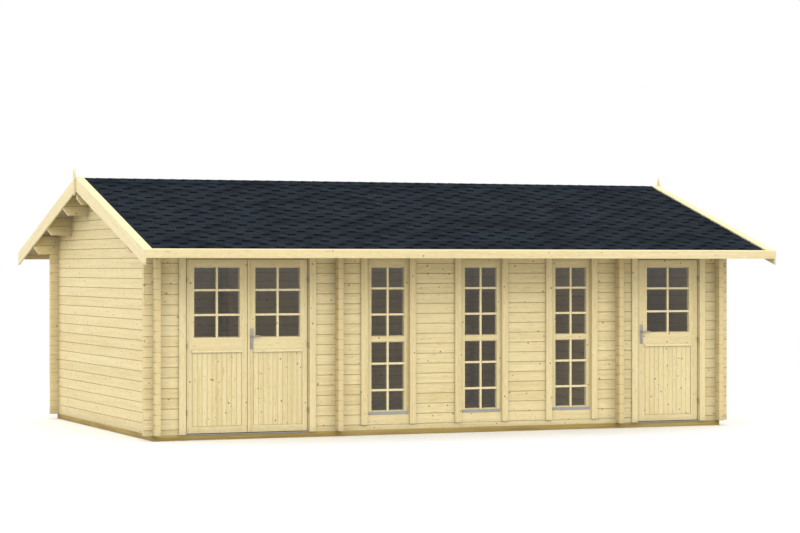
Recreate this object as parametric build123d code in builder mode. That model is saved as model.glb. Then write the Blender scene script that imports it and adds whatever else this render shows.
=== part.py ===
from build123d import *
import os
from math import cos, radians, tan

# Log cabin with three rooms in a row under one saddle roof.
# Millimetres. +X runs along the front to the right, +Y to the back and +Z up.
# The origin is on the ground in the middle of the plan.

# Logs and foundation
LOG_T = 58
LOG_H = 114
LOG_GROOVE = 5
LOG_END = 103
BEAM_H = 62
BEAM_W = 58
JOIST_STEP = 588
FLOOR_T = 26

# Plan, over the outer faces of the walls
WALL_L = 7056
WALL_D = 4242
WALL_COURSES = 17
PLATE_COURSES = 2
BRACE_X = 2153
BRACE_REACH = 330
PARTITION_X = 5684

# Roof
PITCH = 16.67
RIDGE_UNDER = 2910
GABLE_REACH = 300
EAVE_REACH = 770
DECK_T = 19
COVERING_T = 5
PURLIN_OUT = (631, 1437)
PURLIN_COURSE = (21, 19)
RIDGE_PURLIN_H = 283
PURLIN_NOSE_X = 60
PURLIN_NOSE_Z = 72
BARGE_T = 20
BARGE_W = 150
VERGE_W = 100
VERGE_T = 19
FASCIA_T = 20
FASCIA_H = 86
EAVE_STRIP_W = 50
FINIAL_T = 18
FINIAL_W = 60
FINIAL_H = 310
FINIAL_DROP = 215
FINIAL_POINT = 62

# Windows
WINDOW_COUNT = 3
WINDOW_STEP = 1155
WINDOW_W = 556
FRAME_T = 30
CASING_W = 76
CASING_T = 20
CASING_REVEAL = 10
SASH_T = 36
SASH_RECESS = 12
PANE_W = 400
PANE_LOW = 271
PANE_MIDDLE = (1054, 1115)
PANE_TOP = 1899
WINDOW_SILL_Z = 230
WINDOW_SILL_H = 33
WINDOW_SILL_W = 468
WINDOW_SILL_T = 3
GLASS_T = 4
GLASS_HOLD = 8
GLASS_PLAY = 0.2

# Doors
DOUBLE_DOOR_X = 1088
DOUBLE_LEAF_W = 700
SINGLE_DOOR_X = 6360
SINGLE_LEAF_W = 800
LEAF_TOP = 1985
LEAF_T = 38
LEAF_RECESS = 8
LEAF_GAP = 7
MEETING_GAP = 8
COVER_STRIP_W = 20
COVER_STRIP_T = 8
STOP_T = 6
STOP_REACH = 14
DOUBLE_PANE_W = 528
DOUBLE_PANEL_W = 578
SINGLE_PANE_W = 564
SINGLE_PANEL_W = 620
DOOR_PANE_Z = (1123, 1899)
PANEL_Z = (147, 963)
PANEL_DEPTH = 7
DRIP_H = 26
DRIP_T = 14
THRESHOLD_T = 6
THRESHOLD_LIP = 15

# Hinges and handles
HINGE_R = 6
HINGE_H = 30
HINGE_OUT = 8
HINGE_PLAY = 0.3
HINGE_ARM = 6
HINGE_HEIGHTS = (300, 1030, 1760)
HANDLE_Z = 1105
HANDLE_SET = 44
HANDLE_PLATE_W = 40
HANDLE_PLATE_H = 228
HANDLE_PLATE_T = 4
LEVER_UP = 32
LEVER_H = 18
LEVER_T = 10
LEVER_STAND = 46
LEVER_LENGTH = 102

# Derived places
SLOPE = tan(radians(PITCH))
PLUMB = 1 / cos(radians(PITCH))
HALF_L = WALL_L / 2
HALF_D = WALL_D / 2
EAVE_Y = HALF_D + EAVE_REACH
GABLE_X = HALF_L + GABLE_REACH
FRONT_Y = -HALF_D
WALL_Y = HALF_D - LOG_T / 2
WALL_X = HALF_L - LOG_T / 2
WALL_TOP = BEAM_H + LOG_H / 2 + LOG_H * WALL_COURSES
PLATE_TOP = WALL_TOP + LOG_H * PLATE_COURSES
FLOOR_TOP = BEAM_H + FLOOR_T
DECK_RISE = DECK_T * PLUMB
VERGE_RISE = DECK_RISE + VERGE_T * PLUMB
COVERING_RISE = DECK_RISE + COVERING_T * PLUMB


def from_left(distance):
    """The x of a place given by its distance from the outer face of the left gable wall."""
    return distance - HALF_L


BRACE_CENTRE = from_left(BRACE_X)
PARTITION_CENTRE = from_left(PARTITION_X)
WINDOW_CENTRES = [
    (BRACE_CENTRE + PARTITION_CENTRE) / 2 + WINDOW_STEP * (i - (WINDOW_COUNT - 1) / 2)
    for i in range(WINDOW_COUNT)
]
DOUBLE_CENTRE = from_left(DOUBLE_DOOR_X)
SINGLE_CENTRE = from_left(SINGLE_DOOR_X)
DOUBLE_CLEAR = 2 * DOUBLE_LEAF_W + MEETING_GAP + 2 * LEAF_GAP
SINGLE_CLEAR = SINGLE_LEAF_W + 2 * LEAF_GAP
HEAD_LOW = LEAF_TOP + LEAF_GAP
THRESHOLD_TOP = BEAM_H + THRESHOLD_T
LEAF_LOW = THRESHOLD_TOP + LEAF_GAP
CORNERS = (-WALL_X, WALL_X)
CROSS_WALLS = (BRACE_CENTRE, PARTITION_CENTRE)


def roof_z(y, rise=0):
    """Height at y of the underside of the roof deck, or of a layer that lies rise above it."""
    return RIDGE_UNDER + rise - SLOPE * abs(y)


def long_seam(course):
    """Height of the seam on top of a course of the front and back walls, whose first log is half a log."""
    return BEAM_H + LOG_H / 2 + LOG_H * course


def cross_seam(course):
    """Height of the seam on top of a course of the gable walls and the partition."""
    return BEAM_H + LOG_H * course


def log_outline(centre, low, high, seams, grooved=(-1, 1)):
    """Section of a stack of logs, with a V groove at every seam on the sides named in grooved."""
    outline = []
    for side in (-1, 1):
        face = [(centre + side * LOG_T / 2, low)]
        for seam in seams if side in grooved else ():
            if low + LOG_GROOVE < seam < high - LOG_GROOVE:
                face.append((centre + side * LOG_T / 2, seam - LOG_GROOVE))
                face.append((centre + side * (LOG_T / 2 - LOG_GROOVE), seam))
                face.append((centre + side * LOG_T / 2, seam + LOG_GROOVE))
        face.append((centre + side * LOG_T / 2, high))
        outline += face if side < 0 else reversed(face)
    return outline


LONG_SEAMS = [long_seam(course) for course in range(WALL_COURSES + PLATE_COURSES + 8)]
CROSS_SEAMS = [cross_seam(course) for course in range(WALL_COURSES + PLATE_COURSES + 9)]

# Space under the roof deck, which cuts the gables, the wall plates and the purlins to the slope
with BuildPart() as roof_space:
    with BuildSketch(Plane.YZ):
        with BuildLine():
            Polyline(
                (-EAVE_Y, 0),
                (EAVE_Y, 0),
                (EAVE_Y, roof_z(EAVE_Y)),
                (0, RIDGE_UNDER),
                (-EAVE_Y, roof_z(EAVE_Y)),
                close=True,
            )
        make_face()
    extrude(amount=GABLE_X, both=True)


def long_log_wall(side, start, end, low, high, laps, slots=()):
    """Logs along X in the front (-1) or back (1) wall.

    At a lap each log is notched for the logs that cross it. At a slot the cross wall passes whole.
    """
    y = side * WALL_Y
    with BuildPart() as wall:
        with BuildSketch(Plane.YZ.offset(start)):
            with BuildLine():
                Polyline(*log_outline(y, low, high, LONG_SEAMS, grooved=(side,)), close=True)
            make_face()
        extrude(amount=end - start)
        notches = [
            (x, y, seam)
            for x in laps
            for seam in LONG_SEAMS
            if start < x < end and low - LOG_H / 4 < seam < high + LOG_H / 4
        ]
        if notches:
            with Locations(*notches):
                Box(LOG_T, LOG_T, LOG_H / 2, mode=Mode.SUBTRACT)
        if slots:
            with Locations(*[(x, y, (low + high) / 2) for x in slots]):
                Box(LOG_T, LOG_T, high - low, mode=Mode.SUBTRACT)
        add(roof_space.part, mode=Mode.INTERSECT)
    return wall


def cross_log_wall(x, start, end, high, crossings, lap_low, grooved, pockets=()):
    """Logs along Y at x, cut to the roof, with pockets for purlins.

    Above lap_low they are notched for the logs of the long walls at the crossings.
    """
    with BuildPart() as wall:
        with BuildSketch(Plane.XZ.offset(-start)):
            with BuildLine():
                Polyline(*log_outline(x, BEAM_H, high, CROSS_SEAMS, grooved), close=True)
            make_face()
        extrude(amount=start - end)
        add(roof_space.part, mode=Mode.INTERSECT)
        if pockets:
            with BuildSketch(Plane.YZ.offset(x)):
                for y, low in pockets:
                    with Locations((y, (low + RIDGE_UNDER) / 2)):
                        Rectangle(LOG_T, RIDGE_UNDER - low)
            extrude(amount=LOG_T, both=True, mode=Mode.SUBTRACT)
        lap_seams = [seam for seam in CROSS_SEAMS if lap_low <= seam < PLATE_TOP]
        with Locations(*[(x, y, seam) for y in crossings for seam in lap_seams]):
            Box(LOG_T, LOG_T, LOG_H / 2, mode=Mode.SUBTRACT)
    return wall


def purlin(y, low, high):
    """Two stacked logs along the building that carry the deck, with their lower ends cut back."""
    with BuildPart() as logs:
        with BuildSketch(Plane.YZ.offset(-GABLE_X)):
            with BuildLine():
                Polyline(*log_outline(y, low, high, LONG_SEAMS), close=True)
            make_face()
        extrude(amount=2 * GABLE_X)
        add(roof_space.part, mode=Mode.INTERSECT)
        with BuildSketch(Plane.XZ.offset(-y)):
            for side in (-1, 1):
                with BuildLine():
                    Polyline(
                        (side * GABLE_X, low),
                        (side * (GABLE_X - PURLIN_NOSE_X), low),
                        (side * GABLE_X, low + PURLIN_NOSE_Z),
                        close=True,
                    )
                make_face()
        extrude(amount=LOG_T, both=True, mode=Mode.SUBTRACT)
    return logs


def slope_layer(side, rise_low, rise_high, reach, y_low, y_high):
    """A flat layer on one slope, between two heights over the deck's underside, from y_low to y_high."""
    with BuildPart() as layer:
        with BuildSketch(Plane.YZ):
            with BuildLine():
                Polyline(
                    (side * y_low, roof_z(y_low, rise_low)),
                    (side * y_high, roof_z(y_high, rise_low)),
                    (side * y_high, roof_z(y_high, rise_high)),
                    (side * y_low, roof_z(y_low, rise_high)),
                    close=True,
                )
            make_face()
        extrude(amount=reach, both=True)
    return layer


def casing(centre, clear, low):
    """Facing boards round an opening, on the wall's outer face: two uprights and a board over the head."""
    inner = clear / 2 + CASING_REVEAL
    outer = inner + CASING_W
    inner_high = HEAD_LOW + CASING_REVEAL
    with BuildPart() as boards:
        with BuildSketch(Plane.XZ.offset(-FRONT_Y)):
            with Locations((centre, (low + WALL_TOP) / 2)):
                Rectangle(2 * outer, WALL_TOP - low)
            with Locations((centre, (low + inner_high) / 2)):
                Rectangle(2 * inner, inner_high - low, mode=Mode.SUBTRACT)
        extrude(amount=CASING_T)
    return boards


def glass_sheet(centre, width, low, high, y):
    """A pane that reaches a little way into the groove round its opening."""
    with BuildPart() as sheet:
        with Locations((centre, y, (low + high) / 2)):
            Box(
                width + 2 * (GLASS_HOLD - GLASS_PLAY),
                GLASS_T,
                high - low + 2 * (GLASS_HOLD - GLASS_PLAY),
            )
    return sheet


def cut_pane(centre, width, low, high, y, depth):
    """Cuts an opening and the groove that holds its glass out of the open part."""
    with Locations((centre, y, (low + high) / 2)):
        Box(width, depth, high - low, mode=Mode.SUBTRACT)
        Box(width + 2 * GLASS_HOLD, GLASS_T, high - low + 2 * GLASS_HOLD, mode=Mode.SUBTRACT)


def finish(builder, name):
    """Names a finished piece and writes it."""
    builder.part.label = name
    export_step(builder.part, f"parts/{name}.step")


def join(label, pieces):
    """Several solids that share one name."""
    with BuildPart() as group:
        for piece in pieces:
            add(piece.part)
    finish(group, label)


os.makedirs("parts", exist_ok=True)

# Foundation beams along the front and back, flush with the walls
beams = []
for side in (-1, 1):
    with BuildPart() as beam:
        with Locations((0, side * (HALF_D - BEAM_W / 2), BEAM_H / 2)):
            Box(WALL_L, BEAM_W, BEAM_H)
    beams.append(beam)
join("foundation_beams", beams)

# Joists from beam to beam, the outer two under the gable walls
joist_span = WALL_L - BEAM_W
joist_count = round(joist_span / JOIST_STEP) + 1
with BuildPart() as floor_joists:
    with Locations((0, 0, BEAM_H / 2)):
        with GridLocations(joist_span / (joist_count - 1), 1, joist_count, 1):
            Box(BEAM_W, WALL_D - 2 * BEAM_W, BEAM_H)
finish(floor_joists, "floor_joists")

# Floor of both rooms, let in round the braces
room_y = WALL_D - 2 * LOG_T
with BuildPart() as floor:
    for left, right in (
        (-HALF_L + LOG_T, PARTITION_CENTRE - LOG_T / 2),
        (PARTITION_CENTRE + LOG_T / 2, HALF_L - LOG_T),
    ):
        with Locations(((left + right) / 2, 0, BEAM_H + FLOOR_T / 2)):
            Box(right - left, room_y, FLOOR_T)
    brace_y = HALF_D - LOG_T - BRACE_REACH / 2
    with Locations((BRACE_CENTRE, -brace_y, FLOOR_TOP), (BRACE_CENTRE, brace_y, FLOOR_TOP)):
        Box(LOG_T, BRACE_REACH, 2 * FLOOR_T, mode=Mode.SUBTRACT)
finish(floor, "floor")

# Front wall: three runs of logs between the doorways, the middle one open for the windows
double_left = DOUBLE_CENTRE - DOUBLE_CLEAR / 2 - FRAME_T
double_right = DOUBLE_CENTRE + DOUBLE_CLEAR / 2 + FRAME_T
single_left = SINGLE_CENTRE - SINGLE_CLEAR / 2 - FRAME_T
single_right = SINGLE_CENTRE + SINGLE_CLEAR / 2 + FRAME_T
log_tip = HALF_L + LOG_END
finish(long_log_wall(-1, -log_tip, double_left, BEAM_H, WALL_TOP, CORNERS), "front_wall_left")
finish(long_log_wall(-1, single_right, log_tip, BEAM_H, WALL_TOP, CORNERS), "front_wall_right")
middle_run = long_log_wall(-1, double_right, single_left, BEAM_H, WALL_TOP, (), CROSS_WALLS)
window_low = long_seam(0)
with BuildPart() as front_wall_middle:
    add(middle_run.part)
    with Locations(*[(x, -WALL_Y, (window_low + WALL_TOP) / 2) for x in WINDOW_CENTRES]):
        Box(WINDOW_W, 2 * LOG_T, WALL_TOP - window_low, mode=Mode.SUBTRACT)
finish(front_wall_middle, "front_wall_middle")

# Back wall, plain
finish(long_log_wall(1, -log_tip, log_tip, BEAM_H, WALL_TOP, CORNERS, CROSS_WALLS), "back_wall")


def wall_plate(side):
    """The top logs of a long wall, which run out under the verge like the purlins."""
    run = long_log_wall(side, -GABLE_X, GABLE_X, WALL_TOP, PLATE_TOP, CORNERS + CROSS_WALLS)
    nose = purlin(side * WALL_Y, WALL_TOP, PLATE_TOP)
    with BuildPart() as plate:
        add(run.part)
        add(nose.part, mode=Mode.INTERSECT)
    return plate


finish(wall_plate(-1), "front_wall_plate")
finish(wall_plate(1), "back_wall_plate")

# Purlins in the gables, each with the place that it takes there
purlin_places = [(0, RIDGE_UNDER - RIDGE_PURLIN_H)]
for out, course in zip(PURLIN_OUT, PURLIN_COURSE):
    purlin_places.append((-out, long_seam(course)))
    purlin_places.append((out, long_seam(course)))
purlins = [purlin(y, low, RIDGE_UNDER) for y, low in purlin_places]
finish(purlins[0], "ridge_purlin")
join("upper_purlins", purlins[1:3])
join("lower_purlins", purlins[3:5])


# Gable walls and the partition, which reach up to the roof
reach = HALF_D + LOG_END
for x, outer, lap_low, name in (
    (-WALL_X, -1, BEAM_H, "gable_wall_left"),
    (WALL_X, 1, BEAM_H, "gable_wall_right"),
    (PARTITION_CENTRE, -1, WALL_TOP, "partition_wall"),
):
    crossings = (-WALL_Y, WALL_Y)
    finish(cross_log_wall(x, -reach, reach, RIDGE_UNDER, crossings, lap_low, (outer,), purlin_places), name)

# Short cross walls that stiffen the long front and back walls
brace_start = HALF_D - LOG_T - BRACE_REACH
braces = [
    cross_log_wall(BRACE_CENTRE, -reach, -brace_start, PLATE_TOP, (-WALL_Y,), WALL_TOP, (-1,)),
    cross_log_wall(BRACE_CENTRE, brace_start, reach, PLATE_TOP, (WALL_Y,), WALL_TOP, (-1,)),
]
join("wall_braces", braces)

# Roof deck and its covering
strip_y = EAVE_Y - EAVE_STRIP_W / PLUMB
for side, name in ((-1, "front"), (1, "back")):
    finish(slope_layer(side, 0, DECK_RISE, GABLE_X, 0, EAVE_Y - FASCIA_T), f"roof_deck_{name}")
    covering = slope_layer(side, DECK_RISE, COVERING_RISE, GABLE_X + BARGE_T - VERGE_W, 0, strip_y)
    finish(covering, f"roof_covering_{name}")

# Fascia boards, each with the strip that holds the covering at the eave
for side, name in ((-1, "front"), (1, "back")):
    fascia_low = roof_z(EAVE_Y, VERGE_RISE) - FASCIA_H
    with BuildPart() as fascia:
        with BuildSketch(Plane.YZ):
            with BuildLine():
                Polyline(
                    (side * EAVE_Y, fascia_low),
                    (side * EAVE_Y, roof_z(EAVE_Y, DECK_RISE)),
                    (side * (EAVE_Y - FASCIA_T), roof_z(EAVE_Y - FASCIA_T, DECK_RISE)),
                    (side * (EAVE_Y - FASCIA_T), fascia_low),
                    close=True,
                )
            make_face()
        extrude(amount=GABLE_X, both=True)
        strip = slope_layer(side, DECK_RISE, VERGE_RISE, GABLE_X + BARGE_T - VERGE_W, strip_y, EAVE_Y)
        add(strip.part)
    finish(fascia, f"fascia_{name}")

# Bargeboards, each with the flat verge board on its top edge
barge_drop = BARGE_W * PLUMB
for end, end_name in ((-1, "left"), (1, "right")):
    for side, side_name in ((-1, "front"), (1, "back")):
        with BuildPart() as bargeboard:
            with BuildSketch(Plane.YZ.offset(end * GABLE_X)):
                with BuildLine():
                    Polyline(
                        (0, roof_z(0, VERGE_RISE)),
                        (side * EAVE_Y, roof_z(EAVE_Y, VERGE_RISE)),
                        (side * EAVE_Y, roof_z(EAVE_Y, VERGE_RISE) - barge_drop),
                        (0, roof_z(0, VERGE_RISE) - barge_drop),
                        close=True,
                    )
                make_face()
            extrude(amount=end * BARGE_T)
            with BuildSketch(Plane.YZ.offset(end * (GABLE_X + BARGE_T))):
                with BuildLine():
                    Polyline(
                        (0, roof_z(0, VERGE_RISE)),
                        (side * EAVE_Y, roof_z(EAVE_Y, VERGE_RISE)),
                        (side * EAVE_Y, roof_z(EAVE_Y, DECK_RISE)),
                        (0, roof_z(0, DECK_RISE)),
                        close=True,
                    )
                make_face()
            extrude(amount=-end * VERGE_W)
        finish(bargeboard, f"bargeboard_{end_name}_{side_name}")

# Pointed finials over the joints of the bargeboards
finials = []
finial_low = roof_z(0, VERGE_RISE) - FINIAL_DROP
for end in (-1, 1):
    with BuildPart() as finial:
        with BuildSketch(Plane.YZ.offset(end * (GABLE_X + BARGE_T))):
            with BuildLine():
                Polyline(
                    (0, finial_low),
                    (FINIAL_W / 2, finial_low + FINIAL_POINT / 2),
                    (FINIAL_W / 2, finial_low + FINIAL_H - FINIAL_POINT),
                    (0, finial_low + FINIAL_H),
                    (-FINIAL_W / 2, finial_low + FINIAL_H - FINIAL_POINT),
                    (-FINIAL_W / 2, finial_low + FINIAL_POINT / 2),
                    close=True,
                )
            make_face()
        extrude(amount=end * FINIAL_T)
    finials.append(finial)
join("finials", finials)

# Windows: a frame with two sashes, an apron board under them and the casing, all fixed
sash_y = FRONT_Y + SASH_RECESS + SASH_T / 2
window_clear = WINDOW_W - 2 * FRAME_T
panes = [(PANE_LOW, PANE_MIDDLE[0]), (PANE_MIDDLE[1], PANE_TOP)]
window_glass = []
window_sills = []
window_names = ("window_left", "window_middle", "window_right")
for centre, name in zip(WINDOW_CENTRES, window_names):
    with BuildPart() as window:
        with Locations((centre, -WALL_Y, (window_low + WALL_TOP) / 2)):
            Box(WINDOW_W, LOG_T, WALL_TOP - window_low)
        with BuildSketch(Plane.XZ.offset(-FRONT_Y)):
            with Locations((centre, (WINDOW_SILL_Z + HEAD_LOW) / 2)):
                Rectangle(window_clear, HEAD_LOW - WINDOW_SILL_Z)
        extrude(amount=-SASH_RECESS, mode=Mode.SUBTRACT)
        with BuildSketch(Plane.XZ.offset(-(FRONT_Y + SASH_RECESS + SASH_T))):
            with Locations((centre, (WINDOW_SILL_Z + HEAD_LOW) / 2)):
                Rectangle(window_clear, HEAD_LOW - WINDOW_SILL_Z)
        extrude(amount=-LOG_T, mode=Mode.SUBTRACT)
        for low, high in panes:
            cut_pane(centre, PANE_W, low, high, sash_y, 2 * LOG_T)
        add(casing(centre, window_clear, window_low).part)
    finish(window, name)
    for low, high in panes:
        window_glass.append(glass_sheet(centre, PANE_W, low, high, sash_y))
    with BuildPart() as sill:
        with BuildSketch(Plane.YZ.offset(centre)):
            with BuildLine():
                Polyline(
                    (FRONT_Y + SASH_RECESS, WINDOW_SILL_Z),
                    (FRONT_Y + SASH_RECESS, WINDOW_SILL_Z + WINDOW_SILL_H),
                    (FRONT_Y + SASH_RECESS - WINDOW_SILL_T, WINDOW_SILL_Z + WINDOW_SILL_H),
                    (FRONT_Y - WINDOW_SILL_T, WINDOW_SILL_Z + WINDOW_SILL_T),
                    (FRONT_Y - WINDOW_SILL_T, WINDOW_SILL_Z),
                    close=True,
                )
            make_face()
        extrude(amount=WINDOW_SILL_W / 2, both=True)
    window_sills.append(sill)
join("window_glass", window_glass)
join("window_sills", window_sills)


def door_frame(centre, clear, name):
    """Jambs and head that fill the doorway, with stops behind the leaf and the casing in front."""
    stop_low = LEAF_LOW + STOP_REACH
    stop_high = LEAF_TOP - STOP_REACH
    with BuildPart() as frame:
        with BuildSketch(Plane.XZ.offset(-FRONT_Y)):
            with Locations((centre, (BEAM_H + WALL_TOP) / 2)):
                Rectangle(clear + 2 * FRAME_T, WALL_TOP - BEAM_H)
            with Locations((centre, (BEAM_H + HEAD_LOW) / 2)):
                Rectangle(clear, HEAD_LOW - BEAM_H, mode=Mode.SUBTRACT)
        extrude(amount=-LOG_T)
        with BuildSketch(Plane.XZ.offset(-(FRONT_Y + LOG_T - STOP_T))):
            with Locations((centre, (BEAM_H + HEAD_LOW) / 2)):
                Rectangle(clear, HEAD_LOW - BEAM_H)
            with Locations((centre, (stop_low + stop_high) / 2)):
                Rectangle(clear - 2 * (LEAF_GAP + STOP_REACH), stop_high - stop_low, mode=Mode.SUBTRACT)
        extrude(amount=-STOP_T)
        add(casing(centre, clear, BEAM_H).part)
    finish(frame, name)


door_frame(DOUBLE_CENTRE, DOUBLE_CLEAR, "double_door_frame")
door_frame(SINGLE_CENTRE, SINGLE_CLEAR, "single_door_frame")

# Metal thresholds on the foundation beam, turned down in front of it
thresholds = []
for centre, clear in ((DOUBLE_CENTRE, DOUBLE_CLEAR), (SINGLE_CENTRE, SINGLE_CLEAR)):
    with BuildPart() as threshold:
        with BuildSketch(Plane.YZ.offset(centre)):
            with BuildLine():
                Polyline(
                    (FRONT_Y + LOG_T - STOP_T, THRESHOLD_TOP),
                    (FRONT_Y - THRESHOLD_T, THRESHOLD_TOP),
                    (FRONT_Y - THRESHOLD_T, THRESHOLD_TOP - THRESHOLD_LIP),
                    (FRONT_Y, THRESHOLD_TOP - THRESHOLD_LIP),
                    (FRONT_Y, BEAM_H),
                    (FRONT_Y + LOG_T - STOP_T, BEAM_H),
                    close=True,
                )
            make_face()
        extrude(amount=clear / 2, both=True)
    thresholds.append(threshold)
join("door_thresholds", thresholds)

leaf_y = FRONT_Y + LEAF_RECESS


def door_leaf(centre, width, pane_w, panel_w, name, strip_side=0):
    """A leaf with a pane above and a sunk panel of boards below a drip bar, on both faces alike."""
    with BuildPart() as leaf:
        with Locations((centre, leaf_y + LEAF_T / 2, (LEAF_LOW + LEAF_TOP) / 2)):
            Box(width, LEAF_T, LEAF_TOP - LEAF_LOW)
        cut_pane(centre, pane_w, *DOOR_PANE_Z, leaf_y + LEAF_T / 2, 2 * LEAF_T)
        with Locations(*[(centre, face, sum(PANEL_Z) / 2) for face in (leaf_y, leaf_y + LEAF_T)]):
            Box(panel_w, 2 * PANEL_DEPTH, PANEL_Z[1] - PANEL_Z[0], mode=Mode.SUBTRACT)
        with BuildSketch(Plane.YZ.offset(centre)):
            with BuildLine():
                Polyline(
                    (leaf_y, PANEL_Z[1]),
                    (leaf_y - DRIP_T, PANEL_Z[1]),
                    (leaf_y - DRIP_T, PANEL_Z[1] + DRIP_H / 2),
                    (leaf_y, PANEL_Z[1] + DRIP_H),
                    close=True,
                )
            make_face()
        extrude(amount=panel_w / 2, both=True)
        if strip_side:
            strip_x = centre + strip_side * (width - COVER_STRIP_W) / 2
            with Locations((strip_x, leaf_y - COVER_STRIP_T / 2, (LEAF_LOW + LEAF_TOP) / 2)):
                Box(COVER_STRIP_W, COVER_STRIP_T, LEAF_TOP - LEAF_LOW)
    finish(leaf, name)


leaf_shift = (DOUBLE_LEAF_W + MEETING_GAP) / 2
left_centre = DOUBLE_CENTRE - leaf_shift
right_centre = DOUBLE_CENTRE + leaf_shift
door_leaf(left_centre, DOUBLE_LEAF_W, DOUBLE_PANE_W, DOUBLE_PANEL_W, "double_door_left")
door_leaf(right_centre, DOUBLE_LEAF_W, DOUBLE_PANE_W, DOUBLE_PANEL_W, "double_door_right", strip_side=-1)
door_leaf(SINGLE_CENTRE, SINGLE_LEAF_W, SINGLE_PANE_W, SINGLE_PANEL_W, "single_door")
for centre, pane_w, name in (
    (left_centre, DOUBLE_PANE_W, "double_door_left_glass"),
    (right_centre, DOUBLE_PANE_W, "double_door_right_glass"),
    (SINGLE_CENTRE, SINGLE_PANE_W, "single_door_glass"),
):
    finish(glass_sheet(centre, pane_w, *DOOR_PANE_Z, leaf_y + LEAF_T / 2), name)

# Pin hinges: a lower half on the jamb and an upper half on the leaf, which rests on it
hinge_y = FRONT_Y - HINGE_OUT


def lower_half(edge, away, z):
    """The half on the jamb. away is -1 where the jamb is left of the leaf and 1 where it is right of it."""
    axis_x = edge + away * LEAF_GAP / 2
    jamb_x = edge + away * LEAF_GAP
    with BuildPart() as half:
        with Locations((axis_x, hinge_y, z - HINGE_H / 2)):
            Cylinder(HINGE_R, HINGE_H)
        with Locations((jamb_x + away * HINGE_ARM / 2, (hinge_y + FRONT_Y) / 2, z - HINGE_H / 2)):
            Box(HINGE_ARM, HINGE_OUT, HINGE_H)
    return half


def upper_half(edge, away, z):
    """The half on the edge of the leaf."""
    axis_x = edge + away * LEAF_GAP / 2
    middle = z + HINGE_PLAY + HINGE_H / 2
    with BuildPart() as half:
        with Locations((axis_x, hinge_y, middle)):
            Cylinder(HINGE_R, HINGE_H)
        with Locations((edge - away * HINGE_ARM / 2 + away * HINGE_PLAY, (hinge_y + leaf_y) / 2, middle)):
            Box(HINGE_ARM, leaf_y - hinge_y, HINGE_H)
    return half


hinge_sides = {
    "double_door_left_hinges": (DOUBLE_CENTRE - MEETING_GAP / 2 - DOUBLE_LEAF_W, -1),
    "double_door_right_hinges": (DOUBLE_CENTRE + MEETING_GAP / 2 + DOUBLE_LEAF_W, 1),
    "single_door_hinges": (SINGLE_CENTRE + SINGLE_LEAF_W / 2, 1),
}
lower_halves = []
for name, (edge, away) in hinge_sides.items():
    lower_halves += [lower_half(edge, away, z) for z in HINGE_HEIGHTS]
    join(name, [upper_half(edge, away, z) for z in HINGE_HEIGHTS])
join("frame_hinges", lower_halves)


def handle(edge, name):
    """Lever handles with long plates on both faces of a leaf whose closing edge is on its left."""
    centre = edge + HANDLE_SET
    faces = []
    for face, out in ((leaf_y, -1), (leaf_y + LEAF_T, 1)):
        with BuildPart() as furniture:
            with BuildSketch(Plane.XZ.offset(-face)):
                with Locations((centre, HANDLE_Z)):
                    Rectangle(HANDLE_PLATE_W, HANDLE_PLATE_H)
            extrude(amount=-out * HANDLE_PLATE_T)
            with BuildSketch(Plane.XZ.offset(-face)):
                with Locations((centre, HANDLE_Z + LEVER_UP)):
                    Rectangle(LEVER_H, LEVER_H)
            extrude(amount=-out * (LEVER_STAND - LEVER_T))
            with BuildSketch(Plane.XZ.offset(-(face + out * LEVER_STAND))):
                with Locations((centre + LEVER_LENGTH / 2 - LEVER_H / 2, HANDLE_Z + LEVER_UP)):
                    Rectangle(LEVER_LENGTH, LEVER_H)
            extrude(amount=out * LEVER_T)
        faces.append(furniture)
    join(name, faces)


handle(DOUBLE_CENTRE + MEETING_GAP / 2, "double_door_handle")
handle(SINGLE_CENTRE - SINGLE_LEAF_W / 2, "single_door_handle")
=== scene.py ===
import math

import bmesh
import bpy
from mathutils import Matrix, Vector


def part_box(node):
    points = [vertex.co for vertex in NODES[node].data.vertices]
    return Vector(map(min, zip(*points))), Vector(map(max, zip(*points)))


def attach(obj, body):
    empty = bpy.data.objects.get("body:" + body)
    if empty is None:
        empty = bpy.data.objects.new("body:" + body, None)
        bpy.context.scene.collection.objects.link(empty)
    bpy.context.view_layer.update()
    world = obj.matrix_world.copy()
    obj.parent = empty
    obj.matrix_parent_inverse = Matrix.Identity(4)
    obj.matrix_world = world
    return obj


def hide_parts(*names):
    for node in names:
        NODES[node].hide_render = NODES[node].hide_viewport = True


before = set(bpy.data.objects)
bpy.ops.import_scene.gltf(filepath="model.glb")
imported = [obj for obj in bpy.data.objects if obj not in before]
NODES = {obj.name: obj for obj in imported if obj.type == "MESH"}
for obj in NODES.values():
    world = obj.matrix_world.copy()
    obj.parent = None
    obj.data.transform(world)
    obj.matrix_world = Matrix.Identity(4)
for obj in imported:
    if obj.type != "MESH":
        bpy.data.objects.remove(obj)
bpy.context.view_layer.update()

# Sizes in metres that the pieces made here share with the frame
LOG_H = 0.114
LONG_START = 0.005
CROSS_START = 0.062
PITCH = math.radians(16.67)
RIDGE_UNDER = 2.910
DECK_RISE = 0.019 / math.cos(PITCH)
ROOF_REACH = 3.748
COVER_OUT = 2.8431
WINDOWS = {"left": -0.7645, "middle": 0.3905, "right": 1.5455}

# The centre of each leaf, and how wide its pane and its panel are
LEAVES = {
    "double_door_left": (-2.794, 0.528, 0.578),
    "double_door_right": (-2.086, 0.528, 0.578),
    "single_door": (2.832, 0.564, 0.620),
}
LEAF_TOP = 2.0

# The centre of each door frame, and half the width of its opening
DOOR_FRAMES = {"double_door_frame": (-2.440, 0.711), "single_door_frame": (2.832, 0.407)}

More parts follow.
